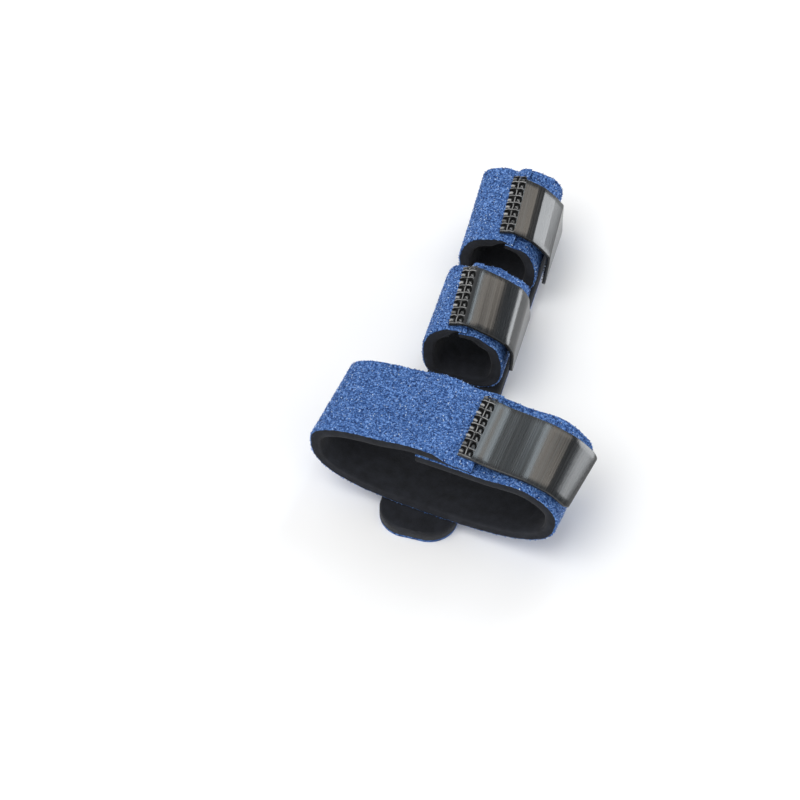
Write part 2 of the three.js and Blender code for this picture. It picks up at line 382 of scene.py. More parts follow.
def on_strap(strap):
    """Places on the strap's own layers, whose outer end is cut aslant."""

    def to_frame(place, across, height):
        slide = strap["slant"] * climb_at(strap, place)
        skin = skin_height(strap, place)
        height = skin + (height - skin) * (1 - thinned_share(strap, place, across))
        height = height + far_rise(strap, place, across)
        return strap_point(strap, place + slide * across / strap["width"], across, height)

    return to_frame


def towards_end(strap, place):
    """From 0 at the tab's start to 1 at its end, and near 0 for most of the way."""
    start, end = tab_span(strap)
    return ((place - start) / (end - start)) ** CUT_POWER


def tab_middle(strap, place, height):
    """Points along the tab's middle line."""
    across = strap["tab_edge"] + TAB_WIDTH / 2
    slant = lerp(strap["slant"], strap["end_slant"], towards_end(strap, place))
    return strap_point(strap, place + slant * across / strap["width"], across, height)


def rib_direction(strap, place, slant):
    """The step in the frame for each millimetre across the tab, where its edge follows the strap."""
    across = strap["tab_edge"] + np.array([0, TAB_WIDTH])
    slid = place + slant * across / strap["width"]
    near, far = strap_point(strap, slid, across, tab_underside(strap, place))
    return (far - near) / TAB_WIDTH


def on_tab(strap):
    """Places on the hook tab: stiff tape that bends along its ribs, with its end cut at another angle."""
    start, end = tab_span(strap)
    first_rib = rib_direction(strap, start, strap["slant"])
    last_rib = rib_direction(strap, end, strap["end_slant"])

    def to_frame(place, across, height):
        place, across, height = np.broadcast_arrays(place, across, height)
        on_middle = tab_middle(strap, place, height + np.interp(place, *strap["tab_lift"]))
        rib = lerp(first_rib, last_rib, towards_end(strap, place)[..., None])
        return on_middle + (across - strap["tab_edge"] - TAB_WIDTH / 2)[..., None] * rib

    return to_frame


def add_tab_bends(strap):
    """A table of how far the stiff tape, straight between its bends, lies above or below its smooth curve."""
    start, end = tab_span(strap)
    place = np.linspace(start, end, BEND_SAMPLES)
    bend, lift = (np.array(column) for column in zip((start, 0), *strap["bends"]))
    curve = tab_middle(strap, place, tab_underside(strap, place))
    knots = tab_middle(strap, bend, tab_underside(strap, bend) + lift)
    straight = np.stack([np.interp(place, bend, knots[:, axis]) for axis in range(3)], axis=-1)
    above = tab_middle(strap, place, tab_underside(strap, place) + 1)
    lifts = np.sum((straight - curve) * (above - curve), axis=-1)
    reach = round(strap["bend_rounding"] * BEND_SAMPLES / (end - start))
    padded = np.pad(lifts, reach, mode="reflect", reflect_type="odd")
    strap["tab_lift"] = place, np.convolve(padded, np.ones(2 * reach + 1) / (2 * reach + 1), mode="valid")


def place_straps():
    """Works out each strap's own tables, and where its near rim starts in the frame."""
    spine_low, spine_high = node_box("spine_foam")
    spine_middle = (spine_low[0] + spine_high[0]) / 2
    near_rim = spine_low[1] + SPINE_BEYOND_PALM_STRAP
    for name, space_after in (("palm", PALM_TO_MIDDLE), ("middle", MIDDLE_TO_DISTAL), ("distal", 0)):
        strap = STRAPS[name]
        add_outline(strap)
        strap["origin"] = (spine_middle + strap["offset"], near_rim)
        strap["base"] = spine_high[2] + GAP
        add_tab_bends(strap)
        near_rim += strap["width"] + space_after


def smooth_noise(u, v, cell, seed):
    """Smooth random heights from -1 to 1 over a plane, with lumps about one cell wide."""
    values = np.random.default_rng(seed).uniform(-1, 1, (NOISE_CELLS, NOISE_CELLS))
    u, v = u / cell, v / cell
    column, row = np.floor(u).astype(int), np.floor(v).astype(int)
    s, t = ease(u - column), ease(v - row)

    def corner(i, j):
        return values[(column + i) % NOISE_CELLS, (row + j) % NOISE_CELLS]

    return lerp(lerp(corner(0, 0), corner(1, 0), s), lerp(corner(0, 1), corner(1, 1), s), t)


def evenly(start, end, step):
    return np.linspace(start, end, max(2, math.ceil((end - start) / step) + 1))


def rounded_steps(radius):
    """Distances in from an edge, and how much lower the rounded edge is there."""
    angle = np.linspace(0, np.pi / 2, ROUNDING_STEPS + 1)
    return radius * (1 - np.sin(angle))[::-1], radius * (1 - np.cos(angle))[::-1]


def section(rows_above, rows_below, radius_above, radius_below):
    """A sheet's section as a ring of points: shares across and up, and the inset from each in millimetres."""
    ring = []
    inset_above, drop_above = rounded_steps(radius_above)
    inset_below, drop_below = rounded_steps(radius_below)
    for inset, drop in zip(inset_above, drop_above):
        ring.append((0, inset, 1, -drop))
    for share in np.linspace(0, 1, rows_above + 1)[1:-1]:
        ring.append((share, 0, 1, 0))
    for inset, drop in zip(inset_above[::-1], drop_above[::-1]):
        ring.append((1, -inset, 1, -drop))
    for inset, drop in zip(inset_below, drop_below):
        ring.append((1, -inset, 0, drop))
    for share in np.linspace(1, 0, rows_below + 1)[1:-1]:
        ring.append((share, 0, 0, 0))
    for inset, drop in zip(inset_below[::-1], drop_below[::-1]):
        ring.append((0, inset, 0, drop))
    return np.array(ring).T


def new_piece(name, points, faces, material):
    """A mesh piece from points in millimetres in the frame. Its object stays at the origin."""
    mesh = bpy.data.meshes.new(name)
    mesh.from_pydata((np.asarray(points).reshape(-1, 3) * MM).tolist(), [], faces)
    mesh.polygons.foreach_set("use_smooth", [True] * len(mesh.polygons))
    mesh.materials.append(material)
    mesh.validate()
    piece = bpy.data.objects.new(name, mesh)
    bpy.context.scene.collection.objects.link(piece)
    return piece


def add_flat_map(piece, places, across):
    """A UV map that holds a sheet laid flat, in metres along and across the strap."""
    corners = np.array([loop.vertex_index for loop in piece.data.loops])
    laid_flat = np.stack([places, across], axis=-1).reshape(-1, 2) * MM
    piece.data.uv_layers.new(name="laid_flat").data.foreach_set("uv", laid_flat[corners].ravel())


def swept_sheet(name, to_frame, stations, ring, edges, levels, material, relief=None, cut_look=None):
    """A closed sheet: the section's ring at each station, and two end faces. cut_look is for its sides."""
    across_share, across_inset, up_share, up_inset = ring
    near, far = edges(stations)
    under, over = levels(stations)
    across = near[:, None] + (far - near)[:, None] * across_share + across_inset
    height = under[:, None] + (over - under)[:, None] * up_share + up_inset
    places = np.broadcast_to(stations[:, None], across.shape)
    if relief is not None:
        height = height + np.where(up_share == 1, relief(places, across), 0)
    points = to_frame(places, across, height)
    rows, columns = across.shape
    first = (np.arange(rows - 1)[:, None] * columns + np.arange(columns)).ravel()
    second = (np.arange(rows - 1)[:, None] * columns + (np.arange(columns) + 1) % columns).ravel()
    faces = np.stack([first, first + columns, second + columns, second], axis=1).tolist()
    faces.append(list(range(columns)))
    faces.append(list(range(rows * columns - 1, (rows - 1) * columns - 1, -1)))
    piece = new_piece(name, points, faces, material)
    add_flat_map(piece, places, across)
    if cut_look is not None:
        piece.data.materials.append(cut_look)
        cut = np.abs(np.roll(up_share, -1) - up_share) > 0
        slots = np.concatenate([np.tile(cut, rows - 1), [False, False]]).astype(int)
        piece.data.polygons.foreach_set("material_index", slots.tolist())
    return piece


def rounded_ends(stations, radius):
    """Adds stations close to both ends, where a sheet's end is rounded."""
    inset, _ = rounded_steps(radius)
    return np.unique(np.concatenate([stations, stations[0] + inset, stations[-1] - inset]))


def with_rounded_ends(levels, start, end, radius):
    """The same levels, drawn together over the last radius before each end."""

    def rounded(place):
        under, over = levels(place)
        into = np.clip(radius - np.minimum(place - start, end - place), 0, radius)
        drop = radius - np.sqrt(radius**2 - into**2)
        return under + drop, over - drop

    return rounded


def tubes(name, paths, radius, sides, up, material):
    """Many short bent threads in one mesh. Each path is a row of points, and up keeps its section level.

    The radius is one number, or one for each thread.
    """
    paths = np.asarray(paths)
    count, steps, _ = paths.shape
    forward = np.gradient(paths, axis=1)
    forward /= np.linalg.norm(forward, axis=2, keepdims=True)
    side = np.cross(forward, np.broadcast_to(up[:, None, :], forward.shape))
    side /= np.maximum(np.linalg.norm(side, axis=2, keepdims=True), TINY)
    top = np.cross(side, forward)
    angle = 2 * np.pi * np.arange(sides) / sides
    offset = side[:, :, None, :] * np.cos(angle)[:, None] + top[:, :, None, :] * np.sin(angle)[:, None]
    points = paths[:, :, None, :] + np.broadcast_to(radius, count)[:, None, None, None] * offset
    start = (np.arange(count) * steps * sides)[:, None, None]
    step = (np.arange(steps - 1) * sides)[None, :, None]
    a = start + step + np.arange(sides)
    b = start + step + (np.arange(sides) + 1) % sides
    faces = np.stack([a, a + sides, b + sides, b], axis=-1).reshape(-1, 4).tolist()
    first = start[:, :, 0] + np.arange(sides)
    faces += first.tolist() + (first + (steps - 1) * sides)[:, ::-1].tolist()
    return new_piece(name, points, faces, material)


def rim_share(from_rim, reach):
    """How strongly a rim's shape is felt that far in from it."""
    return 1 - ease(from_rim / reach)


def thinned_share(strap, place, across):
    """The share of its thickness that the outer end has lost at a point."""
    lost = 0
    for (start, end, most), from_rim, reach in (
        (strap["near_thinning"], across, NEAR_THINNING_REACH),
        (strap["far_thinning"], strap["width"] - across, FAR_THINNING_REACH),
    ):
        run = ease((place - strap["length"] - start) / (end - start))
        lost = lost + most * run * rim_share(from_rim, reach)
    return lost


def far_rise(strap, place, across):
    """How far the first turn's far rim, with the outer end on it, stands up beside the tab."""
    start, top, end, rise = strap["far_swell"]
    from_top = np.mod(place - start, strap["length"])
    shape = ease(from_top / (top - start)) * (1 - ease((from_top + start - top) / (end - top)))
    return rise * shape * rim_share(strap["width"] - across, RISE_REACH)


def surface_up(to_frame, place, across, height):
    """The direction straight up from a surface at each of its places."""
    low, high = to_frame(place, across, height), to_frame(place, across, height + PROBE_STEP)
    return (high - low) / np.linalg.norm(high - low, axis=-1, keepdims=True)


def scattered(start, end, near, far, cell, rng):
    """Random places along and across a strap, one in each cell of a grid."""
    columns, rows = round((end - start) / cell), round((far - near) / cell)
    i, j = np.meshgrid(np.arange(columns), np.arange(rows), indexing="ij")
    place = start + (i + rng.random(i.shape)) * (end - start) / columns
    across = near + (j + rng.random(j.shape)) * (far - near) / rows
    return place.ravel(), across.ravel()


def clear_of_tab(strap, place, across):
    """Which places on the cloth show: those that neither the tab nor the strap's outer end covers."""
    start, end = tab_span(strap)
    from_top = np.where(place > strap["length"] + start, place - strap["length"], place)
    under_tab = (from_top > start) & (from_top < end)
    under_tab &= (across > strap["tab_edge"]) & (across < strap["tab_edge"] + TAB_WIDTH)
    under_outer_end = place < strap["outer_end"]
    return ~(under_tab | under_outer_end)


def thread_loops(name, strap, place, across, rng, look):
    """Small thread loops that stand up from the strap's cloth at the places given."""
    to_frame = on_strap(strap)
    face = face_height(strap, place)
    count = len(place)
    heading = rng.uniform(0, np.pi, count)[:, None]
    lean = rng.uniform(-PILE_LEAN, PILE_LEAN, count)[:, None]
    half_span = rng.uniform(*PILE_SPAN, count)[:, None] / 2
    rise = rng.uniform(*PILE_RISE, count)[:, None]
    turn = np.linspace(0, np.pi, PILE_POINTS)[None, :]
    ahead, aside = half_span * np.cos(turn), lean * np.sin(turn)
    along = place[:, None] + ahead * np.cos(heading) - aside * np.sin(heading)
    over = across[:, None] + ahead * np.sin(heading) + aside * np.cos(heading)
    height = face[:, None] - PILE_SUNK + (rise + PILE_SUNK) * np.sin(turn)
    up = surface_up(to_frame, place, across, face)
    radius = rng.uniform(*PILE_THREAD, count)
    return tubes(name, to_frame(along, over, height), radius, PILE_SIDES, up, look)


def strap_ends(strap):
    return strap["inner_end"], strap["length"] + strap["outer_end"]


def strap_stations(strap, step, edge_radius):
    """Places along the strap for a layer's rings, also where its height starts or stops changing."""
    start, end = strap_ends(strap)
    ramp_start = strap["length"] + strap["inner_end"] - strap["ramp"]
    ramp_end = ramp_start + strap["ramp"]
    seam_start = end - strap["seam"]
    breaks = [strap["outer_end"], ramp_start, ramp_end, seam_start - SEAM_EDGE_RUN, seam_start]
    return rounded_ends(np.unique(np.concatenate([evenly(start, end, step), breaks])), edge_radius)


def strap_layer(name, strap, step, edge_radius, ring, levels, look, **details):
    """One layer of the strap, over its whole width."""

    def edges(place):
        return np.zeros_like(place), np.full_like(place, strap["width"])

    stations = strap_stations(strap, step, edge_radius)
    levels = with_rounded_ends(levels, *strap_ends(strap), edge_radius)
    return swept_sheet(name, on_strap(strap), stations, ring, edges, levels, look, **details)


def add_padding(name, strap, looks):
    def levels(place):
        return skin_height(strap, place), face_height(strap, place) - CLOTH_THICKNESS

    padding = strap_layer(
        name + "_strap_padding", strap, FOAM_STEP, FOAM_EDGE_RADIUS,
        section(HIDDEN_ROWS, HIDDEN_ROWS, 0, FOAM_EDGE_RADIUS), levels, looks["foam"],
    )
    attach(padding, "root")
    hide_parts(name + "_strap_foam")
    return padding


def add_cloth(name, strap, looks):
    def levels(place):
        return face_height(strap, place) - CLOTH_THICKNESS, face_height(strap, place)

    def lumps(place, across):
        return CLOTH_LUMP * smooth_noise(place, across, CLOTH_LUMP_CELL, PILE_SEED)

    rows = round(strap["width"] / CLOTH_STEP)
    cloth = strap_layer(
        name + "_strap_cloth", strap, CLOTH_STEP, CLOTH_EDGE_RADIUS,
        section(rows, HIDDEN_ROWS, CLOTH_EDGE_RADIUS, 0), levels, looks["cloth"],
        relief=lumps, cut_look=looks["foam"],
    )
    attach(cloth, "root")
    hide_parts(name + "_strap_face")
    return cloth


def add_pile(name, strap, looks):
    rng = np.random.default_rng(PILE_SEED + len(name))
    place, across = scattered(*strap_ends(strap), 0, strap["width"], PILE_CELL, rng)
    shows = clear_of_tab(strap, place, across)
    loops = thread_loops(name + "_strap_pile", strap, place[shows], across[shows], rng, looks["pile"])
    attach(loops, "root")
    return loops


def add_strap(name, looks):
    """The foam, the cloth and the pile of one strap."""
    strap = STRAPS[name]
    start, end = strap_ends(strap)
    padding = add_padding(name, strap, looks)
    cloth = add_cloth(name, strap, looks)
    loops = add_pile(name, strap, looks)


def rib_relief(name):
    """The heights of the tape's ribs along the tab. No two ribs are quite the same."""
    rng = np.random.default_rng(TAPE_SEED + len(name))
    strengths = rng.uniform(*RIB_STRENGTH, RIB_KINDS)
    dips = rng.uniform(*RIB_DIP, RIB_KINDS)

    def relief(place, across):
        rib = place / RIB_PITCH
        ridge = np.sin(np.pi * (rib - np.floor(rib))) ** 2
        kind = np.floor(rib).astype(int) % RIB_KINDS
        return RIB_HEIGHT * (strengths[kind] * ridge + dips[kind] * ease(ridge))

    return relief


def add_tab(name, looks):
    """The ribbed tape, with rounded corners at its free end."""
    strap = STRAPS[name]
    start, end = tab_span(strap)
    round_from = end - TAB_CORNER_RADIUS

    def edges(place):
        into = np.maximum(0, place - round_from)
        inset = TAB_CORNER_RADIUS - np.sqrt(np.maximum(0, TAB_CORNER_RADIUS**2 - into**2))
        return strap["tab_edge"] + inset, strap["tab_edge"] + TAB_WIDTH - inset

    def levels(place):
        return tab_underside(strap, place), tab_underside(strap, place) + TAB_THICKNESS

    corner = round_from + TAB_CORNER_RADIUS * np.sin(np.linspace(0, np.pi / 2, TAB_CORNER_STATIONS))
    stations = np.unique(np.concatenate([evenly(start, end, RIB_PITCH / TAB_STEPS_PER_RIB), corner]))
    tab = swept_sheet(
        name + "_tab", on_tab(strap), stations,
        section(TAB_ROWS, TAB_ROWS, TAB_EDGE_RADIUS, TAB_EDGE_RADIUS), edges,
        with_rounded_ends(levels, start, end, TAB_EDGE_RADIUS), looks["tape"], relief=rib_relief(name),
    )
    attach(tab, "root")
    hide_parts(name + "_hook_tab")


def hook_places(strap):
    """A grid of places under the tab, past the strap's outer end."""
    near, far = strap["tab_edge"] + HOOK_MARGIN, strap["tab_edge"] + TAB_WIDTH - HOOK_MARGIN
    place, across = np.meshgrid(
        evenly(strap["outer_end"] + HOOK_MARGIN, tab_span(strap)[1] - TAB_CORNER_RADIUS, HOOK_PITCH_ALONG),
        evenly(near, far, HOOK_PITCH_ACROSS),
    )
    return place.ravel()[:, None], across.ravel()[:, None]


def add_hooks(name, looks):
    """Small bent hooks that hang from the tab, each one way or the other."""
    strap = STRAPS[name]
    to_frame = on_tab(strap)
    place, across = hook_places(strap)
    way = np.random.default_rng(TAPE_SEED).choice([-1, 1], place.shape)
    bend = np.linspace(0, 1, HOOK_POINTS)[None, :]
    down = np.minimum(HOOK_RISE, strap["tab_stand_off"])
    height = tab_underside(strap, place) + HOOK_ROOT - down * np.sin(bend * HOOK_CURL)
    up = surface_up(to_frame, place[:, 0], across[:, 0], 0.0)
    paths = to_frame(place + way * HOOK_REACH * bend, across, height)
    hooks = tubes(name + "_hooks", paths, HOOK_THICKNESS, HOOK_SIDES, up, looks["tape"])
    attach(hooks, "root")


def seam_path(to_frame, strap, place, across, above):
    """A thread at a height above the tab or, past the tab's far edge, above the cloth."""
    top = tab_underside(strap, place) + TAB_THICKNESS
    past_edge = across - strap["tab_edge"] - TAB_WIDTH
    outer = place + strap["length"]
    thickness = face_height(strap, outer) - skin_height(strap, outer)
    thinned_away = thickness * thinned_share(strap, outer, across)
    down_to_cloth = TAB_THICKNESS + thinned_away - far_rise(strap, place, across) - SEAM_ABOVE_PILE
    return to_frame(place, across, top + above - down_to_cloth * ease(past_edge + SEAM_EDGE_BLEND))


def add_thread(name, paths, radius, sides, look):
    """Threads of one seam in one piece. Their sections stay level with the frame's floor."""
    up = np.broadcast_to([0.0, 0.0, 1.0], (len(paths), 3))
    thread = tubes(name, smoothed(np.array(paths)), radius, sides, up, look)
    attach(thread, "root")


def seam_layer(strap, rng):
    """Gives a function that lays one stitch in a row of the seam, on one side of its middle line."""
    to_frame = on_tab(strap)
    middle = tab_span(strap)[0] + SEAM_FROM_EDGE + SEAM_WIDTH / 2
    near = strap["tab_edge"] + SEAM_FROM_RIM

    def laid(shape, row, way):
        wobble = rng.uniform(-SEAM_WOBBLE, SEAM_WOBBLE, (len(shape), 2))
        out, share, above = (np.array(column) for column in zip(*shape))
        place = middle + way * out * SEAM_WIDTH / 2 + wobble[:, 0]
        across = near + (row + share) * SEAM_PITCH + wobble[:, 1]
        return seam_path(to_frame, strap, place, across, above)

    return laid


def loose_end(rng):
    """A loose thread end past the last row, in the same shares and heights as one box of the seam."""
    out, length = rng.uniform(-1, 1), rng.uniform(*LOOSE_LENGTH)
    heading = rng.uniform(-LOOSE_SWING, LOOSE_SWING)
    out_each, row_each = math.sin(heading) / SEAM_WIDTH, math.cos(heading) / SEAM_PITCH
    start = SEAM_ROWS - LOOSE_START
    steps = [(share * length, height) for share, height in LOOSE_ARCH]
    return [(out + run * out_each, start + run * row_each, height) for run, height in steps]


def add_seam(name, looks):
    """The boxed seam, with loose ends. In each box: pale ridges, whose grey is a painted highlight; a thick
    dark stitch of black thread, darkened further as painted shade; and a knot whose pale grey is a painted
    glint.
    """
    rng = np.random.default_rng(SEAM_SEED + len(name))
    laid = seam_layer(STRAPS[name], rng)
    pale, dark, knots = [], [], {"left": [], "right": []}
    for row in range(SEAM_ROWS):
        pale.append(laid(SEAM_RIDGE, row, 0))
        for side, way in (("left", -1), ("right", 1)):
            pale.append(laid(SEAM_RUNG, row, way))
            dark.append(laid(SEAM_DARK[side], row, way))
            knots[side].append(laid(SEAM_KNOT[side], row, way))
    for way in (-1, 1):
        pale.append(laid(SEAM_RUNG, SEAM_ROWS, way))
    # Pale ridges and rungs, whose grey is a painted highlight
    add_thread(name + "_seam_painted_highlight_ridges", pale, PAINTED_HIGHLIGHT_THREAD, PAINTED_HIGHLIGHT_SIDES, looks["painted_highlight_thread"])
    # Dark stitches: black thread, darkened further as painted shade
    add_thread(name + "_seam_stitches_with_painted_shade", dark, DARK_THREAD, DARK_SIDES, looks["black_thread_and_painted_shade"])
    # Knots whose pale grey is a painted glint
    for side, paths in knots.items():
        look = looks["knot_thread_" + side]
        add_thread(f"{name}_seam_knots_{side}", paths, PAINTED_GLINT_KNOT_THREAD[side], DARK_SIDES, look)
    loose = [laid(loose_end(rng), 0, 1) for _ in range(LOOSE_ENDS)]
    add_thread(name + "_seam_ends", loose, LOOSE_THREAD, LOOSE_SIDES, looks["black_thread_and_painted_shade"])


def smoothed(paths):
    """The same paths with their corners cut, and those that it leaves cut again."""
    for _ in range(SMOOTHING_PASSES):
        before, after = paths[:, :-1], paths[:, 1:]
        cuts = [lerp(before, after, share) for share in (SMOOTHING_CUT, 1 - SMOOTHING_CUT)]
        inner = np.stack(cuts, axis=2).reshape(len(paths), -1, 3)[:, 1:-1]
        paths = np.concatenate([paths[:, :1], inner, paths[:, -1:]], axis=1)
    return paths


def spine_edges(low, high):
    """The spine's two sides at each distance along it, with its rounded corners."""
    middle = (low[0] + high[0]) / 2
    half = (high[0] - low[0]) / 2

    def edges(place):
        into = SPINE_CORNER_RADIUS - np.minimum(place - low[1], high[1] - place)
        into = np.clip(into, 0, SPINE_CORNER_RADIUS)
        width = half - SPINE_CORNER_RADIUS + np.sqrt(SPINE_CORNER_RADIUS**2 - into**2)
        return middle - width, middle + width

    return edges


def spine_stations(low, high, step):
    """Places along the spine, close together where its corners are round."""
    turn = np.linspace(0, np.pi / 2, SPINE_CORNER_STATIONS)
    bend = SPINE_CORNER_RADIUS * (1 - np.cos(turn))
    body = evenly(low[1] + SPINE_CORNER_RADIUS, high[1] - SPINE_CORNER_RADIUS, step)
    return np.unique(np.concatenate([low[1] + bend, body, high[1] - bend]))


def flat_levels(low, high):
    def levels(place):
        return np.full_like(place, low), np.full_like(place, high)

    return levels


def on_spine(place, across, height):
    return np.stack(np.broadcast_arrays(across, place, height), axis=-1)


def add_spine_padding(foam, cover, looks):
    padding = swept_sheet(
        "spine_padding", on_spine, spine_stations(*foam, FOAM_STEP),
        section(HIDDEN_ROWS, HIDDEN_ROWS, SPINE_EDGE_RADIUS, 0), spine_edges(*foam),
        flat_levels(cover[1][2], foam[1][2]), looks["foam"],
    )
    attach(padding, "root")
    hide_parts("spine_foam")
    return padding


def add_spine_cloth(foam, cover, looks):
    """The cloth under the spine's foam, with small lumps on its underside."""
    low, high = cover
    width, length = high[0] - low[0], high[1] - low[1]

    def to_frame(place, across, height):
        lump = CLOTH_LUMP * (1 + smooth_noise(place, across, CLOTH_LUMP_CELL, PILE_SEED))
        at_bottom = height < low[2] + LEVEL_TOLERANCE
        return on_spine(place, across, np.where(at_bottom, low[2] + lump, height))

    cloth = swept_sheet(
        "spine_cloth", to_frame, spine_stations(*foam, CLOTH_STEP),
        section(HIDDEN_ROWS, round(width / CLOTH_STEP), 0, CLOTH_EDGE_RADIUS), spine_edges(*foam),
        flat_levels(low[2], high[2]), looks["cloth"],
    )
    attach(cloth, "root")
    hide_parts("spine_cover")


def add_spine(looks):
    foam, cover = node_box("spine_foam"), node_box("spine_cover")
    padding = add_spine_padding(foam, cover, looks)
    add_spine_cloth(foam, cover, looks)


def new_material(name):
    made = bpy.data.materials.new(name)
    made.use_nodes = True
    tree = made.node_tree
    return made, tree, tree.nodes["Principled BSDF"]


def node(tree, kind, inputs=None, **settings):
    made = tree.nodes.new(kind)
    for key, value in settings.items():
        setattr(made, key, value)
    for key, value in (inputs or {}).items():
        if isinstance(value, bpy.types.NodeSocket):
            tree.links.new(value, made.inputs[key])
        else:
            made.inputs[key].default_value = value
    return made


def ramp(tree, factor, stops):
    made = node(tree, "ShaderNodeValToRGB", {"Fac": factor})
    elements = made.color_ramp.elements
    while len(elements) < len(stops):
        elements.new(0.5)
    for element, (at, colour) in zip(elements, stops):
        element.position = at
        element.color = (*colour, 1)
    return made.outputs["Color"]


def noise(tree, vector, size_mm, detail=2.0, roughness=0.5):
    inputs = {"Vector": vector, "Scale": 1 / (size_mm * MM), "Detail": detail, "Roughness": roughness}
    return node(tree, "ShaderNodeTexNoise", inputs).outputs["Fac"]


def multiplied(tree, colour, tint):
    made = node(tree, "ShaderNodeMix", data_type="RGBA", blend_type="MULTIPLY")
    sockets = {socket.identifier: socket for socket in made.inputs}
    sockets["Factor_Float"].default_value = 1.0
    tree.links.new(colour, sockets["A_Color"])
    tree.links.new(tint, sockets["B_Color"])
    return next(socket for socket in made.outputs if socket.identifier == "Result_Color")


def bump(tree, height, depth_mm, strength=1.0):
    inputs = {"Height": height, "Distance": depth_mm * MM, "Strength": strength}
    return node(tree, "ShaderNodeBump", inputs).outputs["Normal"]


def cloth_look():
    """The knitted ground that the pile stands on: darker, with a fine speckle."""
    made, tree, shader = new_material("loop_cloth")
    where = node(tree, "ShaderNodeTexCoord").outputs["Object"]
    speckle = noise(tree, where, size_mm=0.7, detail=3, roughness=0.65)
    brushed = noise(tree, where, size_mm=9.0)
    colour = ramp(tree, speckle, [(0.36, DEEP_BLUE), (0.5, BLUE), (0.64, LIGHT_BLUE)])
    shade = ramp(tree, brushed, [(0.3, BRUSHED_SHADE), (0.7, NO_SHADE)])
    tree.links.new(multiplied(tree, colour, shade), shader.inputs["Base Color"])
    tree.links.new(bump(tree, speckle, depth_mm=0.4), shader.inputs["Normal"])
    shader.inputs["Roughness"].default_value = 0.9
    shader.inputs["Specular IOR Level"].default_value = 0.2
    return made


def pile_look():
    """Each loop of the pile has its own blue, and a few are painted near-white as glints."""
    made, tree, shader = new_material("loop_pile")
    each = node(tree, "ShaderNodeNewGeometry").outputs["Random Per Island"]
    stops = [
        (0.0, DEEP_BLUE), (0.26, BLUE), (0.55, BLUE),
        (0.8, LIGHT_BLUE), (0.9, LIGHT_BLUE), (1.0, PAINTED_GLINT_BLUE),
    ]
    tree.links.new(ramp(tree, each, stops), shader.inputs["Base Color"])
    shader.inputs["Roughness"].default_value = 0.38
    return made


def foam_look():
    made, tree, shader = new_material("foam")
    where = node(tree, "ShaderNodeTexCoord").outputs["Object"]
    scale = 1 / (PORE_SIZE * MM)
    pores = node(tree, "ShaderNodeTexVoronoi", {"Vector": where, "Scale": scale}).outputs["Distance"]
    soft = noise(tree, where, size_mm=3.0, detail=4)
    colour = ramp(tree, soft, [(0.3, FOAM_DARK), (0.7, FOAM_LIGHT)])
    tree.links.new(colour, shader.inputs["Base Color"])
    tree.links.new(bump(tree, pores, depth_mm=0.12, strength=0.7), shader.inputs["Normal"])
    shader.inputs["Roughness"].default_value = 0.85
    shader.inputs["Specular IOR Level"].default_value = 0.3
    shader.inputs["Sheen Weight"].default_value = 0.05
    return made


def tape_look():
    """Glossy ribbed tape: its streaks run with the ribs, across the strap. Its cool and warm tints, in broad
    stripes along the ribs, are painted reflections.
    """
    made, tree, shader = new_material("hook_tape")
    laid_flat = node(tree, "ShaderNodeTexCoord").outputs["UV"]
    along_ribs = node(
        tree, "ShaderNodeVectorMath", {0: laid_flat, 1: (1, RIB_STRETCH, 1)}, operation="MULTIPLY",
    ).outputs["Vector"]
    streaks = noise(tree, along_ribs, size_mm=0.7, detail=4, roughness=0.7)
    painted_reflection_bands = noise(tree, along_ribs, size_mm=5.0, detail=1)
    colour = ramp(tree, streaks, [(0.32, TAPE_DARK), (0.52, TAPE), (0.72, TAPE_LIGHT)])
    # Painted reflection: cool and warm tints in broad stripes along the ribs
    tint = ramp(tree, painted_reflection_bands, [(0.35, PAINTED_COOL_REFLECTION), (0.65, PAINTED_WARM_REFLECTION)])
    tree.links.new(multiplied(tree, colour, tint), shader.inputs["Base Color"])
    smoothest, roughest = TAPE_ROUGHNESS
    gloss = node(tree, "ShaderNodeMapRange", {"Value": streaks, "To Min": smoothest, "To Max": roughest})
    tree.links.new(gloss.outputs["Result"], shader.inputs["Roughness"])
    return made


def thread_look(name, darkest, lightest, roughness, specular):
    """Twisted thread. Each length of it takes its own grey."""
    made, tree, shader = new_material(name)
    where = node(tree, "ShaderNodeTexCoord").outputs["Object"]
    each = node(tree, "ShaderNodeNewGeometry").outputs["Random Per Island"]
    stops = [(0.0, (darkest,) * 3), (1.0, (lightest,) * 3)]
    tree.links.new(ramp(tree, each, stops), shader.inputs["Base Color"])
    twist = noise(tree, where, size_mm=0.35)
    tree.links.new(bump(tree, twist, depth_mm=0.3), shader.inputs["Normal"])
    shader.inputs["Roughness"].default_value = roughness
    shader.inputs["Specular IOR Level"].default_value = specular
    return made


def floor_look():
    made, tree, shader = new_material("floor")
    where = node(tree, "ShaderNodeTexCoord").outputs["Object"]
    tint = ramp(tree, noise(tree, where, size_mm=400.0), [(0.0, FLOOR_GREY), (1.0, FLOOR_PALE)])
    tree.links.new(tint, shader.inputs["Base Color"])
    shader.inputs["Roughness"].default_value = 0.7
    shader.inputs["Specular IOR Level"].default_value = 0.2
    return made


def from_angles(azimuth, elevation):
    """The direction towards a viewer at that azimuth and elevation. Azimuth 0 looks along +Y."""
    turn, rise = math.radians(azimuth), math.radians(elevation)
    return Vector((math.sin(turn) * math.cos(rise), -math.cos(turn) * math.cos(rise), math.sin(rise)))


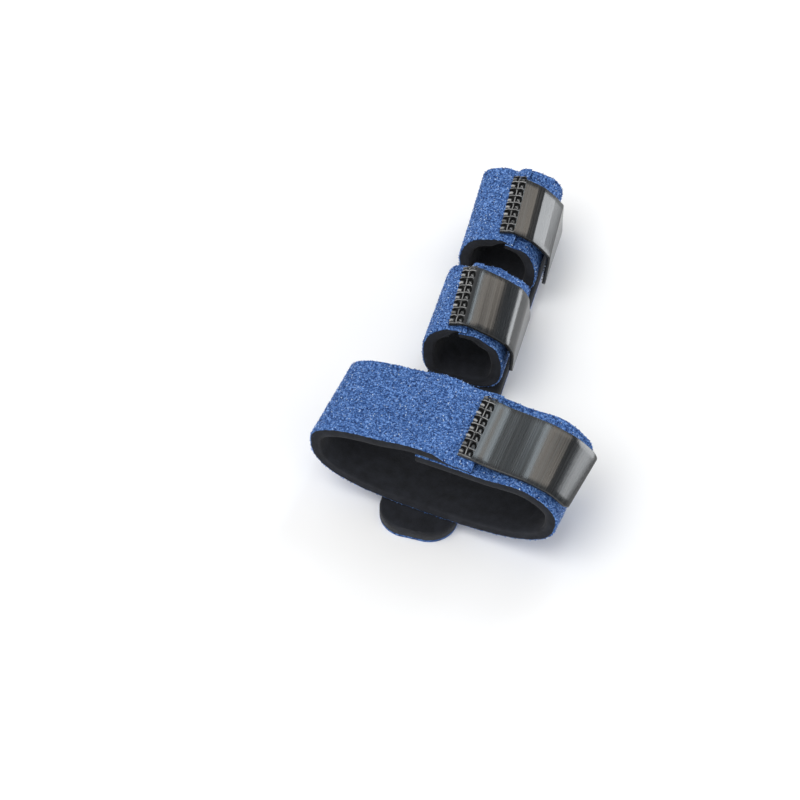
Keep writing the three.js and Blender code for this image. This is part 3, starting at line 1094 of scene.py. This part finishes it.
def add_camera():
    spine_low, spine_high = node_box("spine_foam")
    spine_middle = (spine_low[0] + spine_high[0]) / 2
    target = Vector(CAMERA_TARGET) + Vector((spine_middle, spine_low[1], 0))
    back = from_angles(CAMERA_AZIMUTH, CAMERA_ELEVATION)
    lens = bpy.data.cameras.new("camera")
    lens.lens = CAMERA_LENS
    lens.sensor_width = SENSOR_WIDTH
    lens.clip_start, lens.clip_end = CAMERA_CLIP
    camera = bpy.data.objects.new("camera", lens)
    bpy.context.scene.collection.objects.link(camera)
    camera.location = (target + back * CAMERA_DISTANCE) * MM
    level = (-back).to_track_quat("-Z", "Y").to_matrix()
    roll = Matrix.Rotation(math.radians(-CAMERA_ROLL), 3, "Z")
    camera.rotation_euler = (level @ roll).to_euler()
    bpy.context.scene.camera = camera


def add_light(name, azimuth, elevation, distance, size, power, colour):
    """A soft panel that faces the origin. It is left out of the camera's own view."""
    data = bpy.data.lights.new(name, "AREA")
    data.shape = "RECTANGLE"
    data.size, data.size_y = size
    data.energy = power
    data.color = colour
    light = bpy.data.objects.new(name, data)
    bpy.context.scene.collection.objects.link(light)
    towards = from_angles(azimuth, elevation)
    light.location = towards * distance
    light.rotation_euler = towards.to_track_quat("Z", "Y").to_euler()
    light.visible_camera = False


def add_studio():
    world = bpy.data.worlds.new("studio")
    world.use_nodes = True
    tree = world.node_tree
    backdrop = tree.nodes["Background"]
    sky = node(tree, "ShaderNodeTexCoord").outputs["Generated"]
    towards_dark = node(
        tree, "ShaderNodeVectorMath", {0: sky, 1: from_angles(*DARK_SIDE)}, operation="DOT_PRODUCT",
    ).outputs["Value"]
    tree.links.new(ramp(tree, towards_dark, DARK_SIDE_STOPS), backdrop.inputs["Color"])
    backdrop.inputs["Strength"].default_value = WORLD_STRENGTH
    bpy.context.scene.world = world
    bpy.context.scene.view_settings.view_transform = "Standard"
    for light in LIGHTS:
        add_light(**light)
    mesh = bpy.data.meshes.new("floor")
    reach = FLOOR_REACH
    corners = [(-reach, -reach, 0), (reach, -reach, 0), (reach, reach, 0), (-reach, reach, 0)]
    mesh.from_pydata(corners, [], [(0, 1, 2, 3)])
    mesh.materials.append(floor_look())
    floor = bpy.data.objects.new("floor", mesh)
    bpy.context.scene.collection.objects.link(floor)


def all_looks():
    return {
        "cloth": cloth_look(),
        "pile": pile_look(),
        "foam": foam_look(),
        "tape": tape_look(),
        # Pale thread whose grey is a painted highlight on the seam's ridges
        "painted_highlight_thread": thread_look(
            "painted_highlight_thread", darkest=0.13, lightest=0.36, roughness=0.4, specular=0.5,
        ),
        # Black thread; its near-black, with little gloss, is also painted shade in the seam's boxes
        "black_thread_and_painted_shade": thread_look(
            "black_thread_and_painted_shade", darkest=0.002, lightest=0.006, roughness=0.8, specular=0.1,
        ),
        # Pale knots whose greys are painted glints
        "knot_thread_left": thread_look(
            "knot_thread_left", darkest=0.07, lightest=0.42, roughness=0.55, specular=0.3,
        ),
        "knot_thread_right": thread_look(
            "knot_thread_right", darkest=0.06, lightest=0.28, roughness=0.45, specular=0.3,
        ),
    }


add_camera()
add_studio()
place_straps()
looks = all_looks()
add_spine(looks)
for name in STRAPS:
    add_strap(name, looks)
    add_tab(name, looks)
    add_hooks(name, looks)
    add_seam(name, looks)
